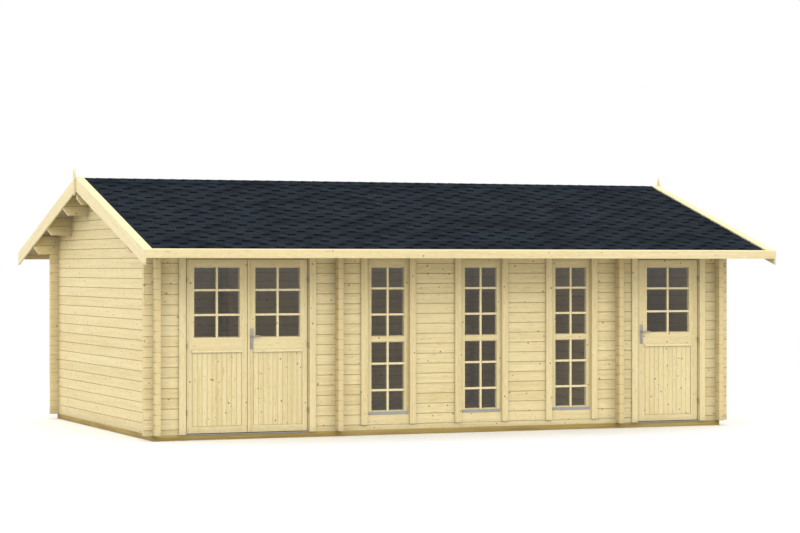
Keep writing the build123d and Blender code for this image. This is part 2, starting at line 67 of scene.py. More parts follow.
# The front and back of the leaves, and the low and high ends of what is in leaves and windows
LEAF_Y = (-2.113, -2.075)
PANEL_Z = (0.147, 0.963)
PANEL_DEPTH = 0.007
DOOR_PANE = (1.123, 1.899)
WINDOW_PANES = ((0.271, 1.054), (1.115, 1.899))
WINDOW_PANE_W = 0.400
BAR_W = 0.025
BOARD_OVER = (1.992, 2.100)
APRON = (0.100, 0.230)


def srgb(red, green, blue):
    """A linear colour from 0 to 255 values."""
    def linear(value):
        value /= 255
        return value / 12.92 if value <= 0.04045 else ((value + 0.055) / 1.055) ** 2.4
    return (linear(red), linear(green), linear(blue), 1.0)


# Camera, at the photograph's place and lens
FOCAL_PX = 2361.26
IMAGE_W = 800
camera_data = bpy.data.cameras.new("camera")
camera_data.sensor_fit = "HORIZONTAL"
camera_data.sensor_width = 36
camera_data.lens = FOCAL_PX * camera_data.sensor_width / IMAGE_W
camera_data.clip_end = 400
camera = bpy.data.objects.new("camera", camera_data)
camera.location = (-10.790, -26.932, 1.9067)
camera.rotation_euler = (math.radians(90), 0, math.radians(-22.288))
bpy.context.scene.collection.objects.link(camera)
bpy.context.scene.camera = camera
bpy.context.scene.view_settings.view_transform = "Standard"


# Painted shade in corners and joints: its colour, and the least share of a surface that it leaves clear
PAINTED_SHADE_COLOR = (0.37, 0.41, 0.53, 1.0)
CLEAR_LEAST = 0.42
WHITE = (1.0, 1.0, 1.0, 1.0)


class Nodes:
    """Builds one material's node tree."""

    def __init__(self, name):
        self.material = bpy.data.materials.new(name)
        self.material.use_nodes = True
        self.tree = self.material.node_tree
        self.tree.nodes.clear()
        self.coordinates = None

    def add(self, kind, **settings):
        node = self.tree.nodes.new(kind)
        for key, value in settings.items():
            setattr(node, key, value)
        return node

    def put(self, socket, value):
        """Links a socket or sets a plain value."""
        if isinstance(value, bpy.types.NodeSocket):
            self.tree.links.new(value, socket)
        else:
            socket.default_value = value

    def math(self, operation, a, b=0.0, c=0.0):
        node = self.add("ShaderNodeMath", operation=operation)
        for socket, value in zip(node.inputs, (a, b, c)):
            self.put(socket, value)
        return node.outputs[0]

    def total(self, *terms):
        """The sum of pairs of a value and its weight."""
        result = 0.0
        for value, weight in terms:
            result = self.math("MULTIPLY_ADD", value, weight, result)
        return result

    def product(self, *values):
        result = values[0]
        for value in values[1:]:
            result = self.math("MULTIPLY", result, value)
        return result

    def length(self, a, b):
        """The length of a vector with two parts."""
        return self.math("SQRT", self.total((self.product(a, a), 1.0), (self.product(b, b), 1.0)))

    def mix(self, factor, a, b, blend="MIX"):
        node = self.add("ShaderNodeMix", data_type="RGBA", blend_type=blend)
        self.put(node.inputs["Factor"], factor)
        self.put(node.inputs[6], a)
        self.put(node.inputs[7], b)
        return node.outputs[2]

    def choose(self, factor, a, b):
        """A value that goes from a to b."""
        node = self.add("ShaderNodeMix", data_type="FLOAT")
        self.put(node.inputs["Factor"], factor)
        self.put(node.inputs[2], a)
        self.put(node.inputs[3], b)
        return node.outputs[0]

    def noise(self, vector, detail=2.0, roughness=0.5, distortion=0.0, scale=1.0):
        node = self.add("ShaderNodeTexNoise")
        self.put(node.inputs["Vector"], vector)
        node.inputs["Scale"].default_value = scale
        node.inputs["Detail"].default_value = detail
        node.inputs["Roughness"].default_value = roughness
        node.inputs["Distortion"].default_value = distortion
        return node.outputs["Fac"]

    def ramp(self, value, low, high):
        """Maps low..high of a value to 0..1, smoothly."""
        node = self.add("ShaderNodeMapRange", clamp=True, interpolation_type="SMOOTHSTEP")
        self.put(node.inputs["Value"], value)
        node.inputs["From Min"].default_value = low
        node.inputs["From Max"].default_value = high
        return node.outputs["Result"]

    def between(self, value, low, high):
        above = self.math("GREATER_THAN", value, low)
        return self.product(above, self.math("LESS_THAN", value, high))

    def vector(self, x, y, z):
        node = self.add("ShaderNodeCombineXYZ")
        for socket, value in zip(node.inputs, (x, y, z)):
            self.put(socket, value)
        return node.outputs[0]

    def split(self, vector):
        node = self.add("ShaderNodeSeparateXYZ")
        self.put(node.inputs[0], vector)
        return node.outputs

    def random(self, x, y, z):
        node = self.add("ShaderNodeTexWhiteNoise", noise_dimensions="3D")
        self.put(node.inputs["Vector"], self.vector(x, y, z))
        return node.outputs["Value"]

    def place(self, output="Object"):
        """The point, or the normal, in the row frame, as separate x, y and z."""
        if self.coordinates is None:
            self.coordinates = self.add("ShaderNodeTexCoord")
        return self.split(self.coordinates.outputs[output])

    def paint_shade(self, color, reach):
        """Darkens a colour with painted shade in corners and joints, where little light gets in."""
        node = self.add("ShaderNodeAmbientOcclusion", samples=4)
        node.inputs["Distance"].default_value = reach
        clear = self.math("MAXIMUM", node.outputs["AO"], CLEAR_LEAST)
        return self.mix(1.0, color, self.mix(clear, PAINTED_SHADE_COLOR, WHITE), "MULTIPLY")

    def shader(self, color, roughness, bump=None, **plain):
        """The main shader. Bump is a height, its strength and its depth in metres.

        Plain values go on the shader's own sockets.
        """
        shader = self.add("ShaderNodeBsdfPrincipled")
        self.put(shader.inputs["Base Color"], color)
        self.put(shader.inputs["Roughness"], roughness)
        for name, value in plain.items():
            shader.inputs[name.replace("_", " ")].default_value = value
        if bump is not None:
            node = self.add("ShaderNodeBump")
            for name, value in zip(("Height", "Strength", "Distance"), bump):
                self.put(node.inputs[name], value)
            self.put(shader.inputs["Normal"], node.outputs[0])
        return shader.outputs[0]

    def mixed(self, factor, a, b):
        """A shader that goes from a to b."""
        node = self.add("ShaderNodeMixShader")
        for socket, value in zip(node.inputs, (factor, a, b)):
            self.put(socket, value)
        return node.outputs[0]

    def done(self, shader):
        """The finished material."""
        output = self.add("ShaderNodeOutputMaterial")
        self.put(output.inputs["Surface"], shader)
        return self.material


SPRUCE_LIGHT = (247, 230, 178)
SPRUCE_DARK = (226, 204, 147)
SEAM = (204, 170, 112)
KNOT = (122, 84, 46)
KNOT_RING = (205, 164, 104)
END_GRAIN = (226, 201, 149)
FLECK_PALE = (255, 243, 200)
FLECK_DARK = (206, 180, 124)

# Knots: cells of their grid in each metre along and across the grain, how much flatter one is across it
# than the grid, and the least and greatest of their radii
KNOT_CELLS = (4.6, 11.0)
KNOT_FLAT = 1.35
KNOT_RADIUS = (0.0040, 0.0100)

# How far the pattern of each board is moved, the number that stands for the first of the rails among the
# boards, and how square to the grain a face is to be an end
OWN_RUN = 37.0
OWN_RISE = 11.0
FIRST_RAIL = 60.0
END_FACING = 0.8


def wood(name, along, across, pitch, start, light=SPRUCE_LIGHT, dark=SPRUCE_DARK, seam=0.0, seam_half=0.004,
         knots=0.66, shift=0.0, rails=(), tilted=False, painted_shade_reach=0.17):
    """Planed wood with its grain along one axis. Each log or board across it has its own tone and knots.

    Pitch and start place the boards, and seam is how strongly the lines between them show. A cell has a
    knot where its chance, from 0 to 1, is above knots. The last argument is how near another surface paints
    shade on it.
    Inside the boxes named in rails, as x and z limits, the grain runs along X instead of Z.
    Tilted wood follows the slope of the roof.
    """
    n = Nodes(name)
    x, y, z = n.place()
    if tilted:
        out = n.math("ABSOLUTE", y)
        y = n.total((out, math.cos(PITCH)), (z, -math.sin(PITCH)))
        z = n.total((out, math.sin(PITCH)), (z, math.cos(PITCH)))
    axes = {"X": x, "Y": y, "Z": z}
    run, rise = axes[along], axes[across]
    depth = axes[({"X", "Y", "Z"} - {along, across}).pop()]
    steps = n.math("DIVIDE", n.math("SUBTRACT", rise, start), pitch)
    board = n.math("FLOOR", steps)
    for index, (x_low, x_high, z_low, z_high) in enumerate(rails):
        inside = n.product(n.between(x, x_low, x_high), n.between(z, z_low, z_high))
        run = n.choose(inside, run, x)
        rise = n.choose(inside, rise, z)
        board = n.choose(inside, board, FIRST_RAIL + index)
    own = n.random(board, n.math("ROUND", depth), shift)
    own_run = n.total((run, 1.0), (own, OWN_RUN))
    own_rise = n.total((rise, 1.0), (own, OWN_RISE))

    def streaks(per_run, per_rise, per_depth, *look):
        """Noise drawn out along the grain, by its scale in each metre each way."""
        spot = (n.product(own_run, per_run), n.product(own_rise, per_rise), n.product(depth, per_depth))
        return n.noise(n.vector(*spot), *look)

    # Fibres, growth rings cut lengthwise, slow changes of tone, and fine grain
    fibre = streaks(1.8, 110.0, 110.0, 3.0, 0.6)
    ring = streaks(0.7, 26.0, 26.0, 2.0, 0.5, 0.7)
    patch = streaks(2.2, 6.0, 1.0, 2.0)
    grain = streaks(5.0, 420.0, 420.0, 2.0, 0.7)
    tone = n.total((fibre, 0.26), (grain, 0.30), (ring, 0.44), (patch, 0.20), (own, 0.14), (1.0, -0.05))
    color = n.mix(n.ramp(tone, 0.30, 0.84), srgb(*dark), srgb(*light))
    fleck = streaks(11.0, 62.0, 62.0, 2.0, 0.6, 0.35)
    color = n.mix(n.product(n.ramp(fleck, 0.57, 0.70), 0.42), color, srgb(*FLECK_PALE))
    color = n.mix(n.product(n.ramp(fleck, 0.42, 0.28), 0.50), color, srgb(*FLECK_DARK))

    # Knots, in some cells of a stretched grid
    cells_run, cells_rise = KNOT_CELLS
    grid = n.vector(n.product(own_run, cells_run), n.product(own_rise, cells_rise), 0.0)
    cells = n.add("ShaderNodeTexVoronoi", voronoi_dimensions="2D", feature="F1")
    cells.inputs["Scale"].default_value = 1.0
    n.put(cells.inputs["Vector"], grid)
    offset = n.add("ShaderNodeVectorMath", operation="SUBTRACT")
    n.put(offset.inputs[0], grid)
    n.put(offset.inputs[1], cells.outputs["Position"])
    off_run, off_rise, _ = n.split(offset.outputs[0])
    apart = n.length(n.product(off_run, 1 / cells_run), n.product(off_rise, KNOT_FLAT / cells_rise))
    chance = n.add("ShaderNodeSeparateColor")
    n.put(chance.inputs[0], cells.outputs["Color"])
    chosen = n.math("GREATER_THAN", chance.outputs[0], knots)
    least, greatest = KNOT_RADIUS
    radius = n.total((chance.outputs[1], greatest - least), (1.0, least))
    reach = n.math("DIVIDE", apart, radius)
    pale = n.product(n.ramp(reach, 6.0, 1.5), chosen)
    halo = n.product(n.ramp(reach, 2.4, 1.0), chosen)
    knot = n.product(n.ramp(reach, 1.2, 0.7), chosen)
    color = n.mix(n.product(pale, 0.35), color, srgb(*light))
    color = n.mix(n.product(halo, 0.45), color, srgb(*KNOT_RING))
    color = n.mix(n.product(knot, 0.85), color, srgb(*KNOT))

    # Ends of the logs and boards, with arcs of growth rings
    normal = dict(zip("XYZ", n.place("Normal")))[along]
    end = n.math("GREATER_THAN", n.math("ABSOLUTE", normal), END_FACING)
    from_pith_rise = n.total((steps, 1.0), (board, -1.0), (own, 0.9))
    from_pith_depth = n.math("FRACT", n.total((depth, 1 / pitch), (own, 3.0)))
    from_pith = n.length(from_pith_rise, n.math("SUBTRACT", from_pith_depth, 0.5))
    arcs = n.math("SINE", n.total((from_pith, 120.0), (fibre, 6.0)))
    end_color = n.mix(n.ramp(arcs, -1.0, 1.0), srgb(*END_GRAIN), srgb(*dark))
    color = n.mix(n.product(end, 0.55), color, end_color)

    # Lines where one log or board meets the next
    part = n.math("FRACT", steps)
    gap = n.product(n.math("MINIMUM", part, n.math("SUBTRACT", 1.0, part)), pitch)
    line = n.ramp(gap, seam_half, seam_half * 0.25)
    color = n.mix(n.product(line, seam), color, srgb(*SEAM))
    height = n.total((fibre, 0.4), (grain, 0.25), (ring, 0.25), (knot, 0.35), (line, -2.0 * seam))
    rough = n.total((fibre, 0.16), (1.0, 0.52))
    bump = (height, 0.35, 0.0012)
    # Painted shade where other surfaces come near
    return n.done(n.shader(n.paint_shade(color, painted_shade_reach), rough, bump, Specular_IOR_Level=0.28))


BEAM_LIGHT = (208, 181, 109)
BEAM_DARK = (164, 138, 74)
BEAM_CHECK = (92, 74, 36)
LONG_BEAMS_Y = 2.064


def treated(name):
    """Pressure-treated beams, olive brown, with the grain along each beam and checks in it."""
    n = Nodes(name)
    x, y, z = n.place()
    long_beam = n.math("GREATER_THAN", n.math("ABSOLUTE", y), LONG_BEAMS_Y)
    run = n.choose(long_beam, y, x)
    rise = n.choose(long_beam, x, y)
    streak = n.noise(n.vector(n.product(run, 1.5), n.product(rise, 80.0), n.product(z, 80.0)), 3.0, 0.6)
    patch = n.noise(n.vector(n.product(run, 1.2), n.product(rise, 4.0), n.product(z, 8.0)), 2.0)
    check = n.ramp(n.noise(n.vector(n.product(run, 2.6), 3.0, n.product(z, 55.0)), 1.0), 0.30, 0.22)
    tone = n.ramp(n.total((streak, 0.6), (patch, 0.4)), 0.3, 0.75)
    color = n.mix(tone, srgb(*BEAM_DARK), srgb(*BEAM_LIGHT))
    color = n.mix(n.product(check, 0.6), color, srgb(*BEAM_CHECK))
    rough = n.total((streak, 0.2), (1.0, 0.6))
    bump = (n.total((streak, 0.6), (check, -1.0)), 0.4, 0.0015)
    # Painted shade where other surfaces are within 0.08 m
    return n.done(n.shader(n.paint_shade(color, 0.08), rough, bump, Specular_IOR_Level=0.25))


# Shingles: rows of six-sided tabs
ROW = 0.127
TAB = 0.303
TAB_FLAT = 0.090
DASH = 0.048
SLATE_LIGHT = (37, 45, 53)
SLATE_DARK = (20, 26, 33)
SLATE_SPECK = (118, 128, 138)
SLATE_PAINTED_SHADOW = (9, 15, 22)


def shingle(name):
    """Slate-grey granules, with a dark band over each cut between tabs: painted shadow, and the shingles'
    printed shadow band.
    """
    n = Nodes(name)
    x, y, z = n.place()
    down = n.product(n.math("ABSOLUTE", y), 1 / math.cos(PITCH))
    rows = n.math("DIVIDE", n.math("SUBTRACT", COVER_OUT / math.cos(PITCH), down), ROW)
    row = n.math("FLOOR", rows)
    up = n.math("SUBTRACT", rows, row)
    phase = n.total((x, 1 / TAB), (n.math("MODULO", row, 2.0), 0.5))
    column = n.math("FLOOR", phase)
    from_cut = n.math("ABSOLUTE", n.math("SUBTRACT", n.math("FRACT", phase), 0.5))
    cut_half = TAB_FLAT / 2 / TAB
    # Painted shadow under each tab's lower edge, near the top of a row, over the cut between two tabs
    in_dash = n.ramp(up, 1 - DASH / ROW, 1 - 0.7 * DASH / ROW)
    band = n.product(in_dash, n.ramp(from_cut, cut_half + 0.02, cut_half))
    place = n.vector(x, y, z)
    grit = n.noise(place, 2.0, 0.7, 0.0, 420.0)
    blotch = n.noise(place, 3.0, 0.6, 0.3, 7.0)
    speck = n.ramp(n.noise(place, 0.0, 0.5, 0.0, 900.0), 0.68, 0.76)
    tone = n.total((grit, 0.5), (blotch, 0.16), (n.random(row, column, 3.0), 0.34))
    color = n.mix(n.ramp(tone, 0.25, 0.8), srgb(*SLATE_DARK), srgb(*SLATE_LIGHT))
    color = n.mix(n.product(speck, 0.35), color, srgb(*SLATE_SPECK))
    color = n.mix(n.product(band, 0.92), color, srgb(*SLATE_PAINTED_SHADOW))
    bump = (n.total((grit, 1.0), (speck, 0.4)), 0.5, 0.0012)
    return n.done(n.shader(color, 0.95, bump, Specular_IOR_Level=0.04))


def metal(name, color, roughness, along):
    """Brushed metal, with fine lines along one axis and faint wear."""
    n = Nodes(name)
    x, y, z = n.place()
    scale = {"X": (8.0, 900.0, 900.0), "Z": (900.0, 900.0, 8.0)}[along]
    lines = n.noise(n.vector(*[n.product(value, by) for value, by in zip((x, y, z), scale)]), 2.0, 0.6)
    wear = n.noise(n.vector(x, y, z), 3.0, 0.6, 0.0, 22.0)
    tone = n.ramp(n.total((lines, 0.6), (wear, 0.4)), 0.3, 0.7)
    base = n.mix(tone, srgb(*[value * 0.88 for value in color]), srgb(*color))
    rough = n.total((lines, 0.16), (wear, 0.12), (1.0, roughness - 0.1))
    return n.done(n.shader(base, rough, (lines, 0.15, 0.0003), Metallic=0.85))


def glass_material(name):
    """Clear float glass with faint rain marks. Lamp light and light off surfaces go straight through it."""
    n = Nodes(name)
    x, y, z = n.place()
    marks = n.noise(n.vector(n.product(x, 14.0), n.product(y, 14.0), n.product(z, 3.0)), 2.0)
    color = n.mix(n.ramp(marks, 0.35, 0.7), srgb(250, 248, 243), srgb(253, 251, 247))
    pane = n.shader(color, n.product(n.ramp(marks, 0.5, 0.8), 0.02), Transmission_Weight=1.0, IOR=1.45)
    clear = n.add("ShaderNodeBsdfTransparent")
    clear.inputs["Color"].default_value = (0.98, 0.98, 0.97, 1.0)
    path = n.add("ShaderNodeLightPath")
    through = n.math("MAXIMUM", path.outputs["Is Shadow Ray"], path.outputs["Is Diffuse Ray"])
    return n.done(n.mixed(through, pane, clear.outputs[0]))


def window_rails(centre):
    """The places in a window where the wood lies level: rails, the board over it and the apron."""
    (low, middle_low), (middle_high, high) = WINDOW_PANES
    pane, head, apron = WINDOW_PANE_W / 2, 0.248, 0.258
    return [
        (centre - pane, centre + pane, high, BOARD_OVER[0]),
        (centre - pane, centre + pane, middle_low, middle_high),
        (centre - pane, centre + pane, APRON[1], low),
        (centre - head, centre + head, *BOARD_OVER),
        (centre - apron, centre + apron, *APRON),
    ]


def leaf_rails(centre, pane_w, panel_w):
    """The places in a door leaf where the wood lies level: top, middle and bottom rail."""
    return [
        (centre - pane_w / 2, centre + pane_w / 2, DOOR_PANE[1], LEAF_TOP),
        (centre - panel_w / 2, centre + panel_w / 2, PANEL_Z[1], DOOR_PANE[0]),
        (centre - panel_w / 2, centre + panel_w / 2, 0.0, PANEL_Z[0]),
    ]


# Seams between logs, widths of boards, and how rare knots are. Whole is wide enough for a piece of one board
LOG_SEAMS = {"seam": 0.50, "seam_half": 0.007}
WHOLE = 0.5
DECK_BOARD = 0.096
FLOOR_BOARD = 0.088
FEW_KNOTS = 0.80
SOME_KNOTS = 0.74
TRIM_LIGHT = (243, 226, 177)
TRIM_DARK = (224, 204, 151)
# Bargeboards paler than the logs: painted light, for the more light that they catch
BARGE_LIGHT = (247, 232, 185)
BARGE_DARK = (231, 212, 161)
# Roof deck boards darker than the other wood: painted shade, as they are seen only from under the roof
DECK_LIGHT = (195, 180, 146)
DECK_DARK = (169, 152, 115)
logs_long = wood("logs_long", "X", "Z", LOG_H, LONG_START, **LOG_SEAMS)
logs_cross = wood("logs_cross", "Y", "Z", LOG_H, CROSS_START, shift=4.0, **LOG_SEAMS)
fascia_wood = wood("fascia_wood", "X", "Z", WHOLE, 0.0, TRIM_LIGHT, TRIM_DARK, knots=FEW_KNOTS, shift=9.0)
barge_wood = wood("barge_wood", "Y", "Z", WHOLE, 0.0, BARGE_LIGHT, BARGE_DARK, knots=FEW_KNOTS, shift=13.0,
                  tilted=True)
# The roof deck and purlins take painted shade from surfaces farther off, as they lie under the roof
deck_wood = wood("deck_wood", "Y", "X", DECK_BOARD, 0.0, DECK_LIGHT, DECK_DARK, seam=0.7, seam_half=0.0035,
                 shift=17.0, painted_shade_reach=0.45)
purlin_wood = wood("purlin_wood", "X", "Z", LOG_H, LONG_START, shift=5.0, painted_shade_reach=0.40, **LOG_SEAMS)
floor_wood = wood("floor_wood", "X", "Y", FLOOR_BOARD, 0.0, seam=0.7, seam_half=0.003, shift=19.0)
upright_wood = wood("upright_wood", "Z", "X", WHOLE, 0.1, knots=FEW_KNOTS, shift=23.0)
beam_wood = treated("beam_wood")
roof_shingle = shingle("roof_shingle")
aluminium = metal("aluminium", (176, 176, 172), 0.45, "X")
plate_metal = metal("plate_metal", (190, 184, 178), 0.42, "Z")
lever_metal = metal("lever_metal", (198, 192, 182), 0.34, "X")
steel = metal("steel", (198, 184, 146), 0.5, "Z")
glass = glass_material("glass")


def dress(material, *names):
    """Gives CAD nodes a material."""
    for name in names:
        slots = NODES[name].data.materials
        slots.clear()
        slots.append(material)


dress(logs_long, "front_wall_left", "front_wall_middle", "front_wall_right", "front_wall_plate")
dress(logs_long, "back_wall", "back_wall_plate")
dress(purlin_wood, "ridge_purlin", "upper_purlins", "lower_purlins")
dress(logs_cross, "gable_wall_left", "gable_wall_right", "partition_wall", "wall_braces")
dress(beam_wood, "foundation_beams", "floor_joists")
dress(floor_wood, "floor")
dress(deck_wood, "roof_deck_front", "roof_deck_back")
dress(fascia_wood, "fascia_front", "fascia_back")
dress(barge_wood, *[f"bargeboard_{end}_{side}" for end in ("left", "right") for side in ("front", "back")])
dress(upright_wood, "finials")
dress(roof_shingle, "roof_covering_front", "roof_covering_back")
dress(aluminium, "window_sills", "door_thresholds")
dress(steel, "frame_hinges")
dress(glass, "window_glass")

# Casing boards beside windows and doors, and the outer edge of a window's casing from its centre
CASING_W = 0.076
DOOR_CASING_W = 0.086
CASING_OUT = 0.334
LEAF_HALF = 0.35
for index, (name, centre) in enumerate(WINDOWS.items()):
    window_wood = wood(f"window_{name}_wood", "Z", "X", CASING_W, centre - CASING_OUT, knots=SOME_KNOTS,
                       shift=30.0 + index, rails=window_rails(centre))
    dress(window_wood, f"window_{name}")
for index, (name, (centre, half)) in enumerate(DOOR_FRAMES.items()):
    frame_wood = wood(name + "_wood", "Z", "X", DOOR_CASING_W, centre - half - DOOR_CASING_W, knots=SOME_KNOTS,
                      shift=40.0 + index, rails=[(centre - half, centre + half, *BOARD_OVER)])
    dress(frame_wood, name)
leaf_wood = {}
for index, (name, (centre, pane_w, panel_w)) in enumerate(LEAVES.items()):
    leaf_wood[name] = wood(name + "_wood", "Z", "X", LEAF_HALF, centre - LEAF_HALF, knots=SOME_KNOTS,
                           shift=50.0 + index, rails=leaf_rails(centre, pane_w, panel_w))
    dress(leaf_wood[name], name)
    dress(glass, name + "_glass")
    dress(steel, name + "_hinges")


# How near to one an edge's share along an axis is for it to run along it, and the bend that stays sharp
PARALLEL = 0.99
SHARP_BEND = math.radians(35)


class Piece:
    """Collects the solids of one visual piece."""

    def __init__(self):
        self.mesh = bmesh.new()

    def box(self, low, high, bevel, along):
        """A box between two corners. Its edges along one axis, given as 0, 1 or 2, are bevelled."""
        low, high = Vector(low), Vector(high)
        made = bmesh.ops.create_cube(self.mesh, size=1.0)["verts"]
        size = high - low
        for vert in made:
            vert.co = Vector([vert.co[i] * size[i] for i in range(3)]) + (low + high) / 2
        edges = {edge for vert in made for edge in vert.link_edges}
        edges = [e for e in edges if abs((e.verts[0].co - e.verts[1].co).normalized()[along]) > PARALLEL]
        bmesh.ops.bevel(self.mesh, geom=edges, offset=bevel, segments=1, profile=0.5, affect="EDGES")

    def face(self, side, *points):
        """One face of an open piece on a slope. On the front its outer side sees the points anticlockwise."""
        self.mesh.faces.new([self.mesh.verts.new(point) for point in points[::-side]])

    def make(self, name, body, slot, material, replaces=(), smooth=False, closed=True):
        """Makes the object. Closed solids get their faces turned outward, and an open piece's are already."""
        data = bpy.data.meshes.new(name)
        if closed:
            bmesh.ops.recalc_face_normals(self.mesh, faces=self.mesh.faces[:])
        self.mesh.to_mesh(data)
        self.mesh.free()
        data.materials.append(material)
        if smooth:
            data.shade_smooth()
            data.set_sharp_from_angle(angle=SHARP_BEND)
        piece = bpy.data.objects.new(name, data)
        bpy.context.scene.collection.objects.link(piece)
        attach(piece, body)
        if replaces:
            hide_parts(*replaces)


def ring_loft(piece, rings):
    """Joins closed rings of points, each to the next, and closes both ends."""
    made = [[piece.mesh.verts.new(point) for point in ring] for ring in rings]
    count = len(made[0])
    for near, far in zip(made, made[1:]):
        for i in range(count):
            piece.mesh.faces.new((near[i], near[(i + 1) % count], far[(i + 1) % count], far[i]))
    piece.mesh.faces.new(made[0])
    piece.mesh.faces.new(made[-1])


# Roof covering, as lifts off the deck. The sheet under the rows ends a little short of the eave
TAB_T = 0.003
TAB_LIFT = 0.0065
SHEET_LIFT = 0.0012
SHEET_SHORT = 0.004


def roof_point(side, x, down, lift):
    """A point on one slope, down from the ridge along it and lifted square off the deck."""
    y = down * math.cos(PITCH) + lift * math.sin(PITCH)
    z = RIDGE_UNDER + DECK_RISE - down * math.sin(PITCH) + lift * math.cos(PITCH)
    return (x, side * y, z)


def shingle_rows(side):
    """Rows of six-sided tabs from the eave up to the ridge, each over the head of the one below."""
    piece = Piece()
    eave = COVER_OUT / math.cos(PITCH)
    half_flat = TAB_FLAT / 2
    half_wide = (TAB - TAB_FLAT) / 2

    def point(x, up, row, lift):
        down = eave - row * ROW - up
        height = TAB_LIFT + lift - TAB_T * up / ROW
        return roof_point(side, max(-ROOF_REACH, min(ROOF_REACH, x)), max(down, 0.0), height)

    def strip(row, low, high):
        """A face over the whole length, between two pairs of a way up the row and a lift."""
        corners = ((-ROOF_REACH, low), (ROOF_REACH, low), (ROOF_REACH, high), (-ROOF_REACH, high))
        piece.face(side, *[point(x, up, row, lift) for x, (up, lift) in corners])

    strip(0, (0, -TAB_T), (ROW, -TAB_T))
    strip(0, (0, -TAB_LIFT), (0, -TAB_T))
    bottom = eave - SHEET_SHORT
    sheet = ((-ROOF_REACH, bottom), (ROOF_REACH, bottom), (ROOF_REACH, 0.0), (-ROOF_REACH, 0.0))
    piece.face(side, *[roof_point(side, x, down, SHEET_LIFT) for x, down in sheet])
    for row in range(int(eave / ROW)):
        strip(row, (ROW, 0), (2 * ROW, 0))
        shift = (row % 2) * TAB / 2
        first = math.floor((-ROOF_REACH - shift) / TAB) - 1
        last = math.ceil((ROOF_REACH - shift) / TAB) + 1
        for tab in range(first, last + 1):
            x = tab * TAB + shift
            if abs(x) > ROOF_REACH + half_wide:
                continue
            outline = ((x - half_flat, 0), (x + half_flat, 0), (x + half_wide, ROW), (x - half_wide, ROW))
            piece.face(side, *[point(at, up, row, 0) for at, up in outline])
            for (x0, up0), (x1, up1) in zip(outline[3:] + outline[:2], outline):
                if abs(x0) > ROOF_REACH and abs(x1) > ROOF_REACH:
                    continue
                edge = ((x1, up1, 0), (x0, up0, 0), (x0, up0, -TAB_T), (x1, up1, -TAB_T))
                piece.face(side, *[point(at, up, row, lift) for at, up, lift in edge])
    return piece


for side, name in ((-1, "front"), (1, "back")):
    rows = shingle_rows(side)
    rows.make(f"shingle_rows_{name}", "cabin", "shingles", roof_shingle, replaces=[f"roof_covering_{name}"],
              closed=False)

# Ridge caps, folded over the ridge and lapped along it, each with its left end over the one before
CAP_W = 0.150
CAP_STEP = 0.150
CAP_T = 0.003
CAP_LAP = 1.25
CAP_RISE = 0.004
CAP_LIFT = 0.0065
CAP_RIDGE_LIFT = 0.0115
caps = Piece()
count = round(2 * ROOF_REACH / CAP_STEP)
step = 2 * ROOF_REACH / count
for index in range(count):
    left = -ROOF_REACH + index * step
    right = min(left + step * CAP_LAP, ROOF_REACH)
    for side in (-1, 1):
        top = [
            roof_point(side, left, CAP_W, CAP_LIFT + CAP_RISE),
            roof_point(side, right, CAP_W, CAP_LIFT),
            roof_point(side, right, 0.0, CAP_RIDGE_LIFT),
            roof_point(side, left, 0.0, CAP_RIDGE_LIFT + CAP_RISE),
        ]
        low = [(x, y, z - CAP_T) for x, y, z in top]
        caps.face(side, *top)
        caps.face(side, top[1], top[0], low[0], low[1])
        caps.face(side, top[0], top[3], low[3], low[0])
caps.make("ridge_caps", "cabin", "shingles", roof_shingle, closed=False)

# Glazing bars and beads, on both faces of each pane. Depths are the y of the front bars' face, of both
# faces of the glass, and of the back bars' face
BAR_BEVEL = 0.0022
BAR_RECESS = 0.0006
SILL_BEAD = 0.0075
BEAD_FRONT = 0.0035
BEAD_BACK = 0.009
WINDOW_ROWS = ((0.506, 0.8065), (1.363, 1.659))
WINDOW_DEPTHS = (-2.1075, -2.093, -2.089, -2.0745)
DOOR_ROWS = (1.374, 1.647)
DOOR_DEPTHS = (-2.1115, -2.096, -2.092, -2.0765)
# Bars, beads and mouldings paler than the wood round them: painted light, as their small faces catch the light
BAR_LIGHT = (255, 240, 192)
BAR_DARK = (240, 221, 168)


def glaze(piece, centre, width, low, high, rows, depths):
    """Bars in front of and behind a pane, square to each other, with a bead round its edge."""
    front, glass_front, glass_back, back = depths
    left, right = centre - width / 2, centre + width / 2
    bar_left, bar_right = centre - BAR_W / 2, centre + BAR_W / 2
    for y_low, y_high in ((front, glass_front), (glass_back, back)):
        piece.box((bar_left, y_low, low), (bar_right, y_high, high), BAR_BEVEL, 2)
        for z in rows:
            for x0, x1 in ((left, bar_left), (bar_right, right)):
                bottom = (x0, y_low + BAR_RECESS, z - BAR_W / 2)
                top = (x1, y_high - BAR_RECESS, z + BAR_W / 2)
                piece.box(bottom, top, BAR_BEVEL, 0)
    slope = ((front, low), (glass_front, low), (glass_front, low + SILL_BEAD))
    ring_loft(piece, [[(x, y, z) for y, z in slope] for x in (left, right)])
    beads = ((glass_front - BEAD_FRONT, BEAD_FRONT), (glass_back, BEAD_BACK))
    for y_low, bead in beads:
        y_high = y_low + bead
        for x0, x1 in ((left, left + bead), (right - bead, right)):
            piece.box((x0, y_low, low), (x1, y_high, high), bead / 3, 2)
        for z0, z1 in ((low, low + bead), (high - bead, high)):
            piece.box((left + bead, y_low, z0), (right - bead, y_high, z1), bead / 3, 0)


# Bar wood takes painted shade only from surfaces very near
bar_wood = wood("bar_wood", "Z", "X", WHOLE, 0.1, BAR_LIGHT, BAR_DARK, knots=0.93, shift=70.0, painted_shade_reach=0.03)
for name, centre in WINDOWS.items():
    bars = Piece()
    for (low, high), rows in zip(WINDOW_PANES, WINDOW_ROWS):
        glaze(bars, centre, WINDOW_PANE_W, low, high, rows, WINDOW_DEPTHS)
    bars.make(f"window_bars_{name}", "cabin", "board", bar_wood)
for name, (centre, pane_w, _) in LEAVES.items():
    bars = Piece()
    glaze(bars, centre, pane_w, *DOOR_PANE, DOOR_ROWS, DOOR_DEPTHS)
    bars.make(name + "_bars", name + "_leaf", "board", bar_wood)

